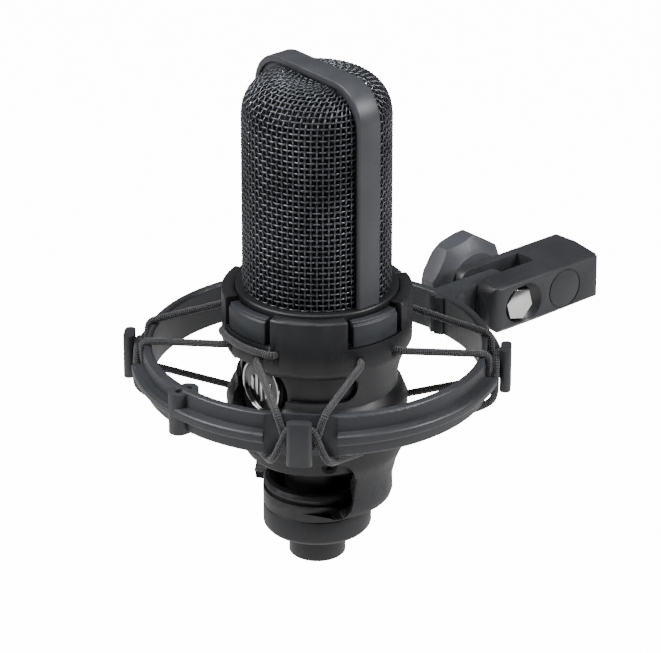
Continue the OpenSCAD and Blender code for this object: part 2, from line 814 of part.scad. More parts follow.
// A short length of cord laid round the front of the collar, its ends tucked in.
module front_cord_bridge() color("#2a2b2d") {
    lay_r = collar_r + cord_r + 0.3;
    cord_through(concat([polar(collar_in + 1.4, -90 - bridge_half, bridge_z)],
        [for (a = [-bridge_half : bridge_half / 3 : bridge_half + eps]) polar(lay_r, -90 + a, bridge_z)],
        [polar(collar_in + 1.4, -90 + bridge_half, bridge_z)]));
}

// Swivel clamp

module swivel_clamp() color("#3c3d40") {
    nose_r = 5;
    dish_r = 8.6;
    difference() {
        intersection() {
            translate([0, clamp_end, 0]) rotate([90, 0, 0]) linear_extrude(clamp_end - clamp_nose)
                polygon([[-clamp_half, clamp_low + 2], [-clamp_half + 2, clamp_low],
                    [clamp_half - 2, clamp_low], [clamp_half, clamp_low + 2],
                    [clamp_half, clamp_shoulder], [clamp_half - 1, clamp_shoulder + 0.8],
                    [-0.3, clamp_top], [-clamp_half + 1, clamp_top - 0.6], [-clamp_half, clamp_top - 1.6]]);
            rotate([90, 0, 90]) translate([0, 0, -far / 2]) linear_extrude(far) {
                translate([clamp_nose + nose_r, clamp_low])
                    square([pivot_y - clamp_nose - nose_r, clamp_top - clamp_low]);
                translate([clamp_nose, clamp_low + nose_r])
                    square([nose_r + 1, clamp_top - clamp_low - 2 * nose_r]);
                for (z = [clamp_low + nose_r, clamp_top - nose_r]) {
                    translate([clamp_nose + nose_r, z]) circle(r = nose_r);
                }
                polygon([[pivot_y - 1, clamp_low], [pivot_y + 8, clamp_low], [clamp_end, clamp_low + 1.6],
                    [clamp_end, clamp_top], [pivot_y - 1, clamp_top]]);
            }
            translate([0, 0, clamp_low - 1]) linear_extrude(far) {
                translate([-clamp_half, clamp_nose + 4]) square([clamp_w, far]);
                translate([-clamp_half + 4, clamp_nose]) square([clamp_w - 8, far]);
                for (s = [-1, 1]) {
                    translate([s * (clamp_half - 4), clamp_nose + 4]) circle(r = 4);
                }
            }
        }
        translate([arm_x - slot_w / 2, 0, 0]) cube([slot_w, slot_back, far]);
        cross_rod(bolt_r + run_gap, -far, far, pivot_y, ring_z);
        cross_rod(hex_af / 2 + 1.3, clamp_half - recess_depth, far, pivot_y, ring_z);
        translate([clamp_half + 5.2, pivot_y + 2.6, ring_z - 0.2]) sphere(r = dish_r);
        translate([0, clamp_end - thread_len, ring_z]) rotate([-90, 0, 0])
            cylinder(r = thread_d / 2 + 0.6, h = far);
        translate([clamp_half - 0.35, clamp_end - 14.5, ring_z]) rotate([0, 90, 0])
            difference() {
                cylinder(r = 6.9, h = 2);
                translate([0, 0, -1]) cylinder(r = 6.4, h = 4);
            }
    }
}

module clamp_bolt() color(steel) {
    head_x = clamp_half - recess_depth;
    translate([head_x, pivot_y, ring_z]) rotate([0, 90, 0]) rotate([0, 0, 15])
        cylinder(r = hex_af / sqrt(3), h = hex_h, $fn = 6);
    cross_rod(bolt_r, -clamp_half - knob_w - knob_washer_t + 2.6, head_x, pivot_y, ring_z);
}

module friction_washers() color("#6b4a32") {
    for (x = [arm_x - slot_w / 2, arm_x + slot_w / 2 - washer_t]) {
        difference() {
            cross_rod(6.4, x, x + washer_t, pivot_y, ring_z);
            cross_rod(bolt_r + run_gap, x - 1, x + 1, pivot_y, ring_z);
        }
    }
}

module knob_washer() color(steel) {
    x = -clamp_half - knob_washer_t;
    difference() {
        cross_rod(7, x, x + knob_washer_t - 0.02, pivot_y, ring_z);
        cross_rod(bolt_r + run_gap, x - 1, x + 2, pivot_y, ring_z);
    }
}

module clamp_knob() color("#64666c") {
    base_x = -clamp_half - knob_washer_t - knob_gap;
    translate([base_x, pivot_y, ring_z]) rotate([0, -90, 0]) difference() {
        intersection() {
            rotate_extrude() polygon([[0, 0], [10.4, 0], [11.2, 1.2], [knob_r, 4.4],
                [knob_r, knob_w - 1], [knob_r - 1, knob_w], [0, knob_w]]);
            rotate([0, 0, 10])
                cylinder(r = (knob_r - 1.3) / cos(22.5), h = 2 * knob_w, $fn = 8, center = true);
        }
        translate([0, 0, -1]) cylinder(r = 5.2, h = knob_w - 0.8);
    }
}

module knob_insert() color(brass) {
    base_x = -clamp_half - knob_washer_t - knob_gap;
    translate([base_x, pivot_y, ring_z]) rotate([0, -90, 0]) difference() {
        cylinder(r = 5.2, h = knob_w - 1.8);
        translate([0, 0, -1]) cylinder(r = bolt_r + run_gap, h = knob_w);
    }
}

module thread_insert() color(brass) {
    translate([0, clamp_end - thread_len, ring_z]) rotate([-90, 0, 0]) difference() {
        cylinder(r = thread_d / 2 + 0.6, h = thread_len);
        translate([0, 0, -1]) cylinder(r = thread_d / 2, h = thread_len + 2);
    }
}

body_shell();
top_ring();
grille_frame();
outer_mesh_front();
outer_mesh_rear();
inner_mesh();
badge_ring();
badge_disc();
badge_bars();
base_neck();
output_shell();
base_screws();
xlr_insert();
xlr_pins();
switch_plate();
low_cut_switch();
pad_switch();
capsule_body();
backplate();
diaphragms();
clamp_rings();
capsule_screws();
capsule_saddle();
isolator();
top_deck();
deck_screws();
circuit_board();
board_brackets();
transformer();
capacitors();
transistors();
capsule_leads();
output_leads();
cradle();
collar_grips();
seat_washer();
locking_ring();
suspension_ring();
upper_elastic();
lower_elastic();
front_cord_bridge();
swivel_clamp();
clamp_bolt();
friction_washers();
knob_washer();
clamp_knob();
knob_insert();
thread_insert();
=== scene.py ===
"""Looks of a side-address condenser microphone in its elastic shock mount and swivel clamp."""
import json
import logging
import math
from dataclasses import dataclass
from enum import Enum
from typing import Sequence

import bmesh
import bpy
from mathutils import Matrix, Vector


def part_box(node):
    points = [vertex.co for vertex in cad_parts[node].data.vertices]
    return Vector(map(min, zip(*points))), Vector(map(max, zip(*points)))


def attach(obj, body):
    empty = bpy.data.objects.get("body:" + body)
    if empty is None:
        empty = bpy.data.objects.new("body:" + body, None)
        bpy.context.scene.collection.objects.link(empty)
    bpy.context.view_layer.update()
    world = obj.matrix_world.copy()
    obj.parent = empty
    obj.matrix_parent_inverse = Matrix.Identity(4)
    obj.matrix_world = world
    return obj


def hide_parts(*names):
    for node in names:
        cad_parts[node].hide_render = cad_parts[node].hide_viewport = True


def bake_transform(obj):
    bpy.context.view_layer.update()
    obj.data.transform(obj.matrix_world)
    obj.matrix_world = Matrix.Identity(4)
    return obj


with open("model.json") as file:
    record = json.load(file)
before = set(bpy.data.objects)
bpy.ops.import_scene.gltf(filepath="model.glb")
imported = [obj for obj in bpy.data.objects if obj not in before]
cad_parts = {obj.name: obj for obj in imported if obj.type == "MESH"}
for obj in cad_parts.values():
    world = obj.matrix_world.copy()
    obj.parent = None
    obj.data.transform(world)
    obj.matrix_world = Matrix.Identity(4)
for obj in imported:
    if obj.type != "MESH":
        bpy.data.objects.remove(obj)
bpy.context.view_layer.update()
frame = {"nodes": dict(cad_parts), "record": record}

MM = 0.001
LOG = logging.getLogger("microphone")


class Body(Enum):
    """The moving bodies that pieces ride on."""

    CLAMP = "clamp"
    RING = "ring"
    CRADLE = "cradle"
    MICROPHONE = "microphone"
    LOW_CUT = "low_cut"
    PAD = "pad"
    LOCK = "lock"
    KNOB_SLIDE = "knob_slide"
    KNOB = "knob"


# ---------------------------------------------------------------- materials


def linear(hex_colour: str) -> tuple[float, float, float, float]:
    """Turn an sRGB hex colour into linear light.

    Args:
        hex_colour: A colour such as "#2d2e30".

    Returns:
        Linear red, green and blue, and an alpha of 1.
    """
    channels = [int(hex_colour[i : i + 2], 16) / 255 for i in (1, 3, 5)]
    return (*[c / 12.92 if c <= 0.04045 else ((c + 0.055) / 1.055) ** 2.4 for c in channels], 1.0)


def add_node(tree: bpy.types.NodeTree, kind: str, inputs: dict | None = None, **settings) -> bpy.types.Node:
    """Add a shader node with its settings and links.

    Args:
        tree: The node tree.
        kind: The node's type name without the ShaderNode prefix.
        inputs: Socket name or number to a value, or to an output socket that is linked to it.
        **settings: The node's own properties.

    Returns:
        The new node.
    """
    node = tree.nodes.new(f"ShaderNode{kind}")
    for name, value in settings.items():
        setattr(node, name, value)
    for name, value in (inputs or {}).items():
        if isinstance(value, bpy.types.NodeSocket):
            tree.links.new(value, node.inputs[name])
        else:
            node.inputs[name].default_value = value
    return node


def blank_material(name: str) -> tuple[bpy.types.Material, bpy.types.NodeTree]:
    """Make an empty node material.

    Args:
        name: The material's name.

    Returns:
        The material and its cleared node tree.
    """
    material = bpy.data.materials.new(name)
    material.use_nodes = True
    material.node_tree.nodes.clear()
    return material, material.node_tree


@dataclass(frozen=True)
class Finish:
    """A surface with fine grain in its bump and a slow drift in its colour and gloss."""

    name: str
    colour: str
    drift_colour: str
    roughness: float
    metallic: float = 0.0
    ior: float = 1.5
    grain_mm: float = 0.5
    grain_depth_mm: float = 0.02
    patch_mm: float = 14.0
    gloss_drift: float = 0.06
    coat: float = 0.0

    def build(self) -> bpy.types.Material:
        """Make the material.

        Returns:
            The finished material.
        """
        material, tree = blank_material(self.name)
        place = add_node(tree, "TexCoord").outputs["Object"]
        grain = add_node(tree, "TexNoise", {"Vector": place, "Scale": 1000 / self.grain_mm,
                                            "Detail": 3.0, "Roughness": 0.6})
        patches = add_node(tree, "TexNoise", {"Vector": place, "Scale": 1000 / self.patch_mm, "Detail": 4.0})
        fade = add_node(tree, "MapRange", {"Value": patches.outputs["Fac"], "From Min": 0.35,
                                           "From Max": 0.65})
        tint = add_node(tree, "Mix", {"Factor": fade.outputs["Result"], "A": linear(self.colour),
                                      "B": linear(self.drift_colour)}, data_type="RGBA")
        gloss = add_node(tree, "MapRange", {"Value": patches.outputs["Fac"], "From Min": 0.3, "From Max": 0.7,
                                            "To Min": self.roughness - self.gloss_drift,
                                            "To Max": self.roughness + self.gloss_drift})
        bump = add_node(tree, "Bump", {"Height": grain.outputs["Fac"], "Strength": 0.6,
                                       "Distance": self.grain_depth_mm * MM})
        shader = add_node(tree, "BsdfPrincipled", {
            "Base Color": tint.outputs["Result"], "Roughness": gloss.outputs["Result"],
            "Metallic": self.metallic, "IOR": self.ior, "Normal": bump.outputs["Normal"],
            "Coat Weight": self.coat, "Coat Roughness": 0.12})
        add_node(tree, "OutputMaterial", {"Surface": shader.outputs["BSDF"]})
        return material


@dataclass(frozen=True)
class BraidedCord:
    """Braided polyester sleeve over a rubber core: crossing ribs, with a painted highlight on their crowns
    and painted shade in the valleys between them.
    """

    name: str = "braided elastic cord"
    # The valley colour is painted shade between the crossing strands; the crown colour is a painted highlight
    # on their tops.
    valley_shade: str = "#0e0f10"
    crown: str = "#5a5c61"
    strands: int = 14
    lay_mm: float = 2.4

    def build(self) -> bpy.types.Material:
        """Make the material, which follows the cord's UV map: u round it and v along it in metres.

        Returns:
            The finished material.
        """
        material, tree = blank_material(self.name)
        place = add_node(tree, "UVMap", uv_map="cord").outputs["UV"]
        parts = add_node(tree, "SeparateXYZ", {"Vector": place})
        per_turn = math.pi * self.strands
        per_metre = per_turn / (self.lay_mm * 4 * MM)
        round_it = add_node(tree, "Math", {0: parts.outputs["X"], 1: per_turn}, operation="MULTIPLY")
        along = add_node(tree, "Math", {0: parts.outputs["Y"], 1: per_metre}, operation="MULTIPLY")
        waves = []
        for step in ("ADD", "SUBTRACT"):
            angle = add_node(tree, "Math", {0: round_it.outputs[0], 1: along.outputs[0]}, operation=step)
            waves.append(add_node(tree, "Math", {0: angle.outputs[0]}, operation="SINE"))
        weave = add_node(tree, "Math", {0: waves[0].outputs[0], 1: waves[1].outputs[0]}, operation="MULTIPLY")
        height = add_node(tree, "MapRange", {"Value": weave.outputs[0], "From Min": -1.0, "From Max": 1.0})
        # Colour follows the weave's height: painted shade in the valleys, a painted highlight on the crowns.
        tint = add_node(tree, "ValToRGB", {"Fac": height.outputs["Result"]})
        tint.color_ramp.elements[0].position = 0.42
        tint.color_ramp.elements[0].color = linear(self.valley_shade)
        tint.color_ramp.elements[1].position = 0.95
        tint.color_ramp.elements[1].color = linear(self.crown)
        bump = add_node(tree, "Bump", {"Height": height.outputs["Result"], "Strength": 1.0,
                                       "Distance": 0.25 * MM})
        shader = add_node(tree, "BsdfPrincipled", {
            "Base Color": tint.outputs["Color"], "Roughness": 0.55, "Normal": bump.outputs["Normal"],
            "Sheen Weight": 0.3, "Sheen Roughness": 0.4})
        add_node(tree, "OutputMaterial", {"Surface": shader.outputs["BSDF"]})
        return material


@dataclass(frozen=True)
class FineGauze:
    """Fine black inner gauze, drawn at 0.6 mm pitch so that its wires still show, with its holes painted
    near-black as painted shade of the dark inside.
    """

    name: str = "fine black gauze"
    wire: str = "#232427"
    # The holes' near-black is painted shade: it stands for the dark inside seen through the gauze.
    hole_shade: str = "#020202"
    pitch_mm: float = 0.6
    radius_mm: float = 21.3

    def build(self) -> bpy.types.Material:
        """Make the material from height and angle about the microphone's axis.

        Returns:
            The finished material.
        """
        material, tree = blank_material(self.name)
        parts = add_node(tree, "SeparateXYZ", {"Vector": add_node(tree, "TexCoord").outputs["Object"]})
        angle = add_node(tree, "Math", {0: parts.outputs["Y"], 1: parts.outputs["X"]}, operation="ARCTAN2")
        rates = ((angle.outputs[0], 2 * math.pi * self.radius_mm / self.pitch_mm),
                 (parts.outputs["Z"], 2 * math.pi / (self.pitch_mm * MM)))
        waves = []
        for value, rate in rates:
            scaled = add_node(tree, "Math", {0: value, 1: rate}, operation="MULTIPLY")
            waves.append(add_node(tree, "Math", {0: scaled.outputs[0]}, operation="SINE"))
        crowns = add_node(tree, "Math", {0: waves[0].outputs[0], 1: waves[1].outputs[0]}, operation="MAXIMUM")
        height = add_node(tree, "MapRange", {"Value": crowns.outputs[0], "From Min": 0.3, "From Max": 1.0})
        # The wire pattern is real; the near-black between the wires is painted shade.
        tint = add_node(tree, "Mix", {"Factor": height.outputs["Result"], "A": linear(self.hole_shade),
                                      "B": linear(self.wire)}, data_type="RGBA")
        bump = add_node(tree, "Bump", {"Height": height.outputs["Result"], "Strength": 0.8,
                                       "Distance": 0.15 * MM})
        shader = add_node(tree, "BsdfPrincipled", {"Base Color": tint.outputs["Result"], "Roughness": 0.4,
                                                   "Metallic": 0.7, "Normal": bump.outputs["Normal"]})
        add_node(tree, "OutputMaterial", {"Surface": shader.outputs["BSDF"]})
        return material


# What each slot really is, and what its making gives the eye.
FINISHES = {
    # Zinc die casting under satin black powder coat: soft highlights, a faint orange peel.
    "body": Finish("satin black powder coat", "#17181b", "#1c1d20", 0.42, grain_mm=0.7, grain_depth_mm=0.03),
    # The same coat in dark grey, a little smoother.
    "rib": Finish("satin graphite paint", "#3a3c40", "#43454a", 0.40, grain_mm=0.5, grain_depth_mm=0.015),
    # Drawn steel wire, black plated: narrow bright lines along each wire.
    "mesh": Finish("black plated wire", "#6a6d72", "#4c4e52", 0.3, metallic=0.85, grain_mm=1.6,
                   grain_depth_mm=0.02, gloss_drift=0.05),
    # Glass-filled nylon from a spark-eroded mould: even, fine matt texture.
    "moulding": Finish("black moulded nylon", "#1c1d20", "#222326", 0.46, grain_mm=0.45,
                       grain_depth_mm=0.035),
    # Softer nylon pads with a satin face.
    "grip": Finish("satin nylon pad", "#2a2d32", "#303338", 0.42, grain_mm=0.4, grain_depth_mm=0.02),
    # The ring's nylon is greyer and smoother than the cradle's.
    "ring": Finish("grey moulded nylon", "#303236", "#36383c", 0.4, grain_mm=0.4, grain_depth_mm=0.025),
    "clamp": Finish("satin moulded nylon", "#2b2c2f", "#323337", 0.42, grain_mm=0.45, grain_depth_mm=0.03),
    "knob": Finish("grey moulded knob", "#45474c", "#4d4f55", 0.45, grain_mm=0.6, grain_depth_mm=0.03),
    # Polished nickel plate: near mirror with a slight haze.
    "bright": Finish("polished nickel plate", "#e4e4e2", "#d2d3d2", 0.16, metallic=1.0, grain_mm=0.8,
                     grain_depth_mm=0.004, gloss_drift=0.04),
    "black_steel": Finish("black oxide steel", "#161617", "#202022", 0.35, metallic=0.8, grain_depth_mm=0.01),
    "steel": Finish("zinc plated steel", "#b4b6b8", "#9b9da0", 0.3, metallic=1.0, grain_depth_mm=0.01),
    "brass": Finish("machined brass", "#b79250", "#a37f40", 0.28, metallic=1.0, grain_depth_mm=0.01),
    # Fired black enamel under a clear gloss.
    "badge": Finish("gloss black enamel", "#060607", "#0a0a0b", 0.14, grain_depth_mm=0.004, gloss_drift=0.03,
                    coat=0.5),
    "insulator": Finish("black phenolic", "#141415", "#1b1b1c", 0.45),
    "film": Finish("gold sputtered film", "#d9b768", "#cfa955", 0.2, metallic=1.0, grain_depth_mm=0.002),
    "board": Finish("green solder mask", "#1c5a37", "#17492d", 0.3, coat=0.3),
    "can": Finish("drawn aluminium can", "#a9abad", "#98999c", 0.35, metallic=1.0, grain_depth_mm=0.01),
    "sleeve": Finish("red shrink sleeve", "#7e1f17", "#6b1a13", 0.35),
    "rubber": Finish("black rubber", "#151515", "#1d1d1d", 0.7, grain_mm=0.6, grain_depth_mm=0.04),
    "fibre": Finish("brown vulcanised fibre", "#5d3d27", "#4f331f", 0.6),
    "cord": BraidedCord(),
}


class Materials:
    """Builds each finish once and hands it out by slot name."""

    def __init__(self) -> None:
        """Start with nothing built."""
        self._built: dict[str, bpy.types.Material] = {}

    def get(self, slot: str) -> bpy.types.Material:
        """Give the material of a slot.

        Args:
            slot: The record's slot name, or "gauze" for the inner gauze.

        Returns:
            The slot's material.
        """
        if slot not in self._built:
            finish = FineGauze() if slot == "gauze" else FINISHES[slot]
            self._built[slot] = finish.build()
        return self._built[slot]


# ---------------------------------------------------------------- mesh tools


def deselect() -> None:
    """Leave nothing selected, so that an operator acts on one piece only."""
    bpy.ops.object.select_all(action="DESELECT")


def make_active(piece: bpy.types.Object) -> None:
    """Select one object alone and make it active.

    Args:
        piece: The object.
    """
    deselect()
    piece.hide_viewport = False
    piece.select_set(True)
    bpy.context.view_layer.objects.active = piece


def apply_modifiers(piece: bpy.types.Object) -> None:
    """Apply every modifier in order.

    Args:
        piece: The object.
    """
    make_active(piece)
    for modifier in list(piece.modifiers):
        bpy.ops.object.modifier_apply(modifier=modifier.name)


def place_piece(piece: bpy.types.Object, body: Body, material: bpy.types.Material,
                replaces: Sequence[str] = ()) -> bpy.types.Object:
    """Dress a finished piece and let it ride.

    Args:
        piece: The finished mesh object, at the origin.
        body: The body that it rides on.
        material: Its material.
        replaces: CAD nodes that it stands for.

    Returns:
        The piece.
    """
    piece.data.materials.clear()
    piece.data.materials.append(material)
    if replaces:
        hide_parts(*replaces)
    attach(piece, body.value)
    LOG.info("%s: %d faces on %s", piece.name, len(piece.data.polygons), body.value)
    return piece


def copy_of_node(node: str, name: str) -> bpy.types.Object:
    """Copy a CAD node's mesh into a new object with its doubles merged and its flat faces joined.

    Args:
        node: The CAD node.
        name: The new object's name.

    Returns:
        The new object, at the origin.
    """
    mesh = frame["nodes"][node].data.copy()
    shape = bmesh.new()
    shape.from_mesh(mesh)
    bmesh.ops.remove_doubles(shape, verts=shape.verts, dist=1e-6)
    bmesh.ops.dissolve_limit(shape, angle_limit=math.radians(0.6), verts=shape.verts, edges=shape.edges)
    shape.to_mesh(mesh)
    shape.free()
    piece = bpy.data.objects.new(name, mesh)
    bpy.context.scene.collection.objects.link(piece)
    return piece


@dataclass
class SoftenedPart:
    """A CAD part whose sharp edges are broken as a mould or a tumbler leaves them."""

    node: str
    body: Body
    slot: str
    edge_mm: float = 0.25
    sharp_deg: float = 34.0
    segments: int = 2

    def build(self, materials: Materials) -> bpy.types.Object:
        """Make the softened piece and let it stand for the CAD part.

        Args:
            materials: The finishes.

        Returns:
            The piece.
        """
        piece = copy_of_node(self.node, f"{self.node}_finished")
        if self.edge_mm > 0:
            bevel = piece.modifiers.new("edges", "BEVEL")
            bevel.limit_method = "ANGLE"
            bevel.angle_limit = math.radians(self.sharp_deg)
            bevel.width = self.edge_mm * MM
            bevel.segments = self.segments
            bevel.use_clamp_overlap = True
            bevel.miter_outer = "MITER_ARC"
            apply_modifiers(piece)
        make_active(piece)
        bpy.ops.object.shade_smooth_by_angle(angle=math.radians(self.sharp_deg))
        return place_piece(piece, self.body, materials.get(self.slot), (self.node,))


# ---------------------------------------------------------------- grille


@dataclass
class WovenGrille:
    """The outer grille: round wire woven one over, one under, each side of the rib. Millimetres."""

    pitch: float = 1.85
    wire_d: float = 0.64
    corner: float = 13.0
    crown_spread: float = 0.62
    rib_half: float = 3.25
    foot_gap: float = 0.2
    samples: int = 48

    def __post_init__(self) -> None:
        """Take the grille's size from the CAD shell that it stands for."""
        low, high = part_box("outer_mesh_front")
        self.lift = self.wire_d * 0.46
        inset = self.lift + self.wire_d / 2
        self.radius = -low[1] / MM - inset
        self.top = high[2] / MM - inset
        self.foot = low[2] / MM + self.foot_gap
        self.bend = self.corner - inset
        self.flat_r = self.radius - self.bend
        self.wall = self.top - self.bend - self.foot

    def surface(self, x: float, y: float) -> tuple[Vector, Vector]:
        """Give the crown's height over a place in plan.

        Args:
            x: Place across, in millimetres.
            y: Place fore and aft.

        Returns:
            The point on the crown and its outward direction.
        """
        r = math.hypot(x, y)
        over = min(max(r - self.flat_r, 0.0), self.bend)
        rise = math.sqrt(self.bend**2 - over**2)
        outward = Vector((x / r * over, y / r * over, rise)) / self.bend if r > 0 else Vector((0, 0, 1))
        return Vector((x, y, self.top - self.bend + rise)), outward

    def riser(self, angle: float) -> list[tuple[Vector, Vector]]:
        """Lay one upright wire's line up the wall and over the crown to the rib.

        Args:
            angle: Its angle from the front, in radians.

        Returns:
            Points and outward directions at every half pitch.
        """
        out = Vector((math.sin(angle), -math.cos(angle), 0.0))
        start = out * self.radius
        end = Vector((angle * self.radius * self.crown_spread, -self.rib_half, 0.0))
        fine = [self.surface(*(start.lerp(end, i / self.samples)).xy) for i in range(self.samples + 1)]
        run = [0.0]
        for (p, _), (q, _) in zip(fine, fine[1:]):
            run.append(run[-1] + (q - p).length)
        line = []
        step, reach, k = self.pitch / 2, 0.0, 0
        while reach <= self.wall + run[-1]:
            if reach <= self.wall:
                line.append((start + Vector((0, 0, self.foot + reach)), out))
            else:
                while run[k + 1] < reach - self.wall:
                    k += 1
                part = (reach - self.wall - run[k]) / max(run[k + 1] - run[k], 1e-9)
                (p, m), (q, n) = fine[k], fine[k + 1]
                line.append((p.lerp(q, part), m.lerp(n, part).normalized()))
            reach += step
        return line

    def wires(self) -> list[list[Vector]]:
        """Weave the front half.

        Returns:
            Each wire as a list of points in millimetres.
        """
        limit = math.acos(self.rib_half / self.radius)
        half_step = self.pitch / self.radius / 2
        count = int(limit / half_step)
        risers = {i: self.riser(i * half_step) for i in range(-count, count + 1)}
        result = []
        for i, line in risers.items():
            if i % 2 == 0:
                result.append([p + n * self.lift * self.side(i, j) for j, (p, n) in enumerate(line)])
        longest = max(len(line) for line in risers.values())
        for j in range(0, longest, 2):
            wire: list[Vector] = []
            for i in range(-count, count + 1):
                if j < len(risers[i]):
                    p, n = risers[i][j]
                    wire.append(p - n * self.lift * self.side(i, j))
                elif len(wire) > 1:
                    result.append(wire)
                    wire = []
                else:
                    wire = []
            if len(wire) > 1:
                result.append(wire)
        return result

    @staticmethod
    def side(i: int, j: int) -> int:
        """Say whether the upright passes outside (1), inside (-1) or between (0) at a half-pitch place."""
        if i % 2 or j % 2:
            return 0
        return 1 if (i // 2 + j // 2) % 2 == 0 else -1

    def build_half(self, name: str, turn_deg: float, node: str, materials: Materials) -> bpy.types.Object:
        """Draw one half's wires as bevelled curves and make them a mesh.

        Args:
            name: The piece's name.
            turn_deg: Turn about the microphone's axis.
            node: The CAD shell that it stands for.
            materials: The finishes.

        Returns:
            The piece.
        """
        turn = Matrix.Rotation(math.radians(turn_deg), 4, "Z")
        curve = bpy.data.curves.new(name, "CURVE")
        curve.dimensions = "3D"
        curve.bevel_depth = self.wire_d / 2 * MM
        curve.bevel_resolution = 1
        curve.use_fill_caps = True
        for wire in self.wires():
            spline = curve.splines.new("POLY")
            spline.points.add(len(wire) - 1)
            for point, place in zip(spline.points, wire):
                point.co = (*(turn @ (place * MM)), 1.0)
        piece = bpy.data.objects.new(name, curve)
        bpy.context.scene.collection.objects.link(piece)
        make_active(piece)
        bpy.ops.object.convert(target="MESH")
        bpy.ops.object.shade_smooth_by_angle(angle=math.radians(75))
        return place_piece(piece, Body.MICROPHONE, materials.get("mesh"), (node,))

    def build(self, materials: Materials) -> None:
        """Make both halves and the gauze inside them.

        Args:
            materials: The finishes.
        """
        self.build_half("grille_weave_front", 0, "outer_mesh_front", materials)
        self.build_half("grille_weave_rear", 180, "outer_mesh_rear", materials)
        gauze = copy_of_node("inner_mesh", "inner_gauze")
        make_active(gauze)
        bpy.ops.object.shade_smooth_by_angle(angle=math.radians(40))
        place_piece(gauze, Body.MICROPHONE, materials.get("gauze"), ("inner_mesh",))


# ---------------------------------------------------------------- elastic cords


@dataclass
class ElasticCords:
    """The two loops of braided elastic and the short length round the collar's front. Millimetres."""

    cord_d: float = 2.3
    sides: int = 14
    spacing: float = 0.8
    bend: float = 2.6
    blend_from: float = 31.0
    blend_to: float = 51.0
    ring_mid: float = 68.3
    ring_half: float = 7.0
    wall_in: float = 52.5
    wall_out: float = 55.5
    slot_r: float = 54.0
    collar_r: float = 30.3
    hoop_r: float = 29.1
    bridge_z: float = 83.0
    bridge_half: int = 25

    @staticmethod
    def polar(radius: float, angle_deg: float, z: float) -> Vector:
        """Give a point by radius, angle and height."""
        angle = math.radians(angle_deg)
        return Vector((radius * math.cos(angle), radius * math.sin(angle), z))

    def at_post(self, angle_deg: float, radius: float, across: float, z: float) -> Vector:
        """Give a point in a post's own radial and sideways directions.

        Args:
            angle_deg: The post's angle.
            radius: Distance out from the microphone's axis, in millimetres.
            across: Sideways place.
            z: Height.

        Returns:
            The point in millimetres.
        """
        angle = math.radians(angle_deg)
        out = Vector((math.cos(angle), math.sin(angle), 0))
        side = Vector((-math.sin(angle), math.cos(angle), 0))
        return out * radius + side * across + Vector((0, 0, z))

    def rounded(self, points: Sequence[Vector]) -> list[Vector]:
        """Round off each bend and space the points evenly.

        Args:
            points: The route's corners.

        Returns:
            A smooth route in millimetres.
        """
        soft = [points[0]]
        for before, corner, after in zip(points, points[1:], points[2:]):
            a = corner + (before - corner).normalized() * min(self.bend, (before - corner).length * 0.49)
            b = corner + (after - corner).normalized() * min(self.bend, (after - corner).length * 0.49)
            for k in range(9):
                t = k / 8
                soft.append(a * (1 - t) ** 2 + corner * 2 * t * (1 - t) + b * t * t)
        soft.append(points[-1])
        even, carry = [soft[0]], 0.0
        for p, q in zip(soft, soft[1:]):
            length = (q - p).length
            place = self.spacing - carry
            while place < length:
                even.append(p.lerp(q, place / length))
                place += self.spacing
            carry = self.spacing - (place - length)
        if (even[-1] - soft[-1]).length < self.spacing * 0.3:
            even[-1] = soft[-1]
        else:
            even.append(soft[-1])
        return even

    def sweep(self, name: str, points: Sequence[Vector]) -> bpy.types.Object:
        """Sweep the cord along a route, with a UV map that follows it.

        Args:
            name: The piece's name.
            points: The route's corners in millimetres.

        Returns:
            A closed tube at the origin.
        """
        route = self.rounded(points)
        shape = bmesh.new()
        uv_layer = shape.loops.layers.uv.new("cord")
        side = Vector((0, 0, 1))
        rings, run = [], [0.0]
        for i, p in enumerate(route):
            ahead = (route[min(i + 1, len(route) - 1)] - route[max(i - 1, 0)]).normalized()
            side = (side - ahead * side.dot(ahead)).normalized()
            other = ahead.cross(side)
            ring = []
            for k in range(self.sides):
                turn = 2 * math.pi * k / self.sides
                arm = side * math.cos(turn) + other * math.sin(turn)
                ring.append(shape.verts.new((p + arm * self.cord_d / 2) * MM))
            rings.append(ring)
            if i:
                run.append(run[-1] + (p - route[i - 1]).length * MM)
        for i, (ring, following) in enumerate(zip(rings, rings[1:])):
            for k in range(self.sides):
                nxt = (k + 1) % self.sides
                face = shape.faces.new((ring[k], ring[nxt], following[nxt], following[k]))
                face.smooth = True
                corners = ((k, run[i]), (k + 1, run[i]), (k + 1, run[i + 1]), (k, run[i + 1]))
                for loop, (u, v) in zip(face.loops, corners):
                    loop[uv_layer].uv = (u / self.sides, v)
        shape.faces.new(reversed(rings[0]))
        shape.faces.new(rings[-1])
        mesh = bpy.data.meshes.new(name)
        shape.to_mesh(mesh)
        shape.free()
        piece = bpy.data.objects.new(name, mesh)
        bpy.context.scene.collection.objects.link(piece)
        return piece

    def turn(self, post: float, inner: float, half: float, outer: float, z: float,
             round_post: Sequence[tuple[float, float, float]]) -> list[Vector]:
        """Route one quarter of a loop, out of the cradle, round a post and back.

        Args:
            post: The post's angle in degrees.
            inner: Radius of the stretch inside the cradle's wall.
            half: Half the angle between the two holes of a pair.
            outer: Radius where the cord leaves the wall.
            z: Height of the holes.
            round_post: Radius, sideways place and height of each bend, up to the post's middle.

        Returns:
            The route's corners in millimetres.
        """
        middle = inner * math.cos(math.radians(half))
        out = self.cord_d / 2 + 0.6
        first = [self.polar(middle, post - 45, z), self.polar(inner, post - 45 + half, z),
                 self.polar(outer + out, post - 45 + half, z)]
        last = [self.polar(outer + out, post + 45 - half, z), self.polar(inner, post + 45 - half, z),
                self.polar(middle, post + 45, z)]
        near = [self.at_post(post, r, -t, h) for r, t, h in round_post]
        far = [self.at_post(post, r, t, h) for r, t, h in reversed(round_post)]
        return first + near + far + last

